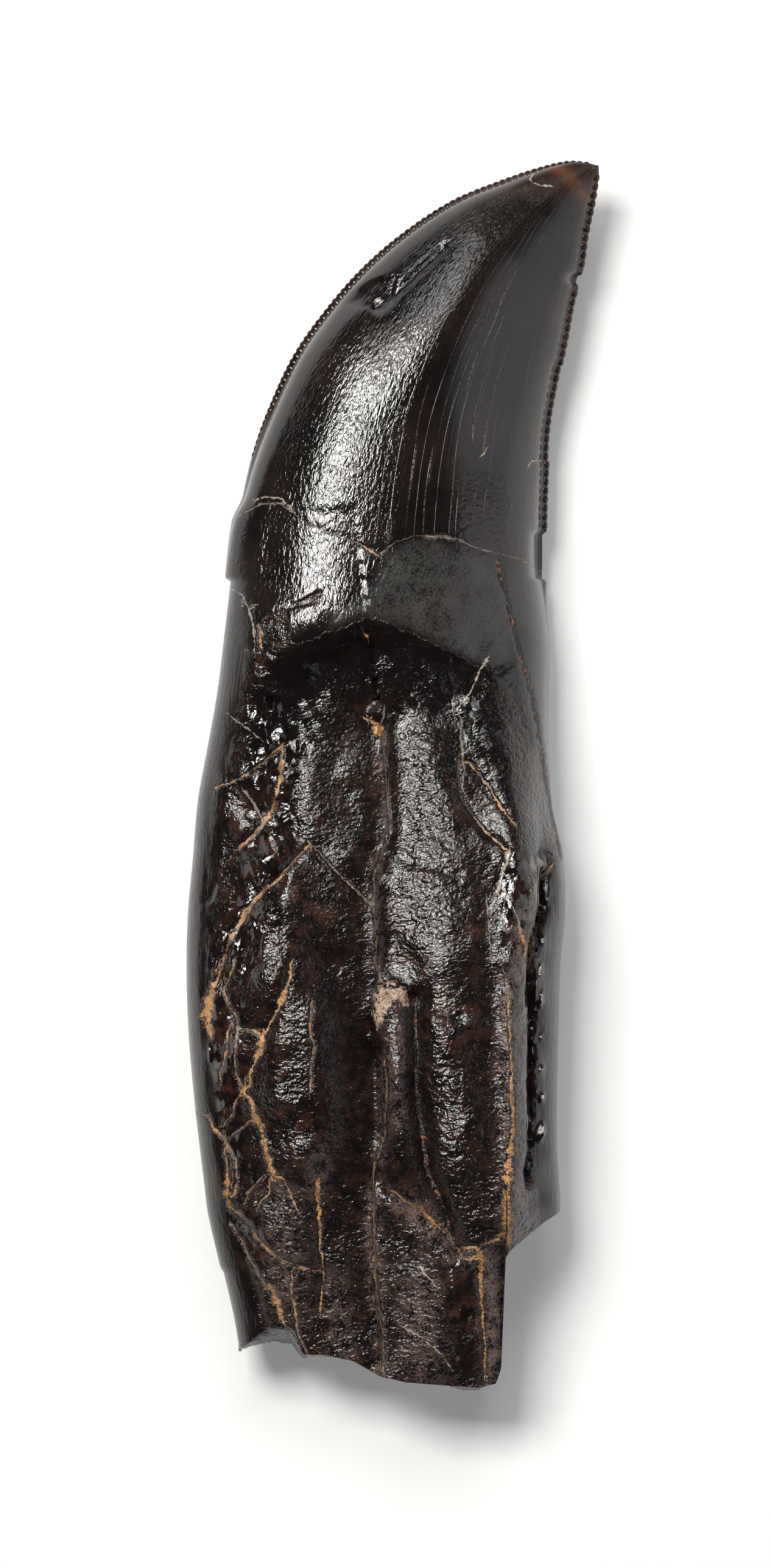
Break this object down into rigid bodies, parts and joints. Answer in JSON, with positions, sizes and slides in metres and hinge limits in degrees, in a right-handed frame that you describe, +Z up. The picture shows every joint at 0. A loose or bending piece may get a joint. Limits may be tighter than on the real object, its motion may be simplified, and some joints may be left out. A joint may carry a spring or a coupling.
{
  "type": "fossil allosaurus tooth",
  "caption": "Fossil theropod tooth lying on its side: a curved, flattened crown with serrated front and rear cutting edges on a long cracked root that ends in a ragged break.",
  "frame": {"origin": "under the middle of the tooth's box, on the surface that it rests on", "axes": "+Y runs up the tooth to the side the tip is on, +X runs from the convex front edge to the rear cutting edge, and +Z is up, out of the upper face"},
  "size_m": [0.0258, 0.0764, 0.0132],
  "materials": {
    "tooth": "glossy, nearly black mineralised enamel and dentine with tan mineral veins"
  },
  "bodies": {
    "root": {"tooth": "tooth"}
  },
  "joints": []
}
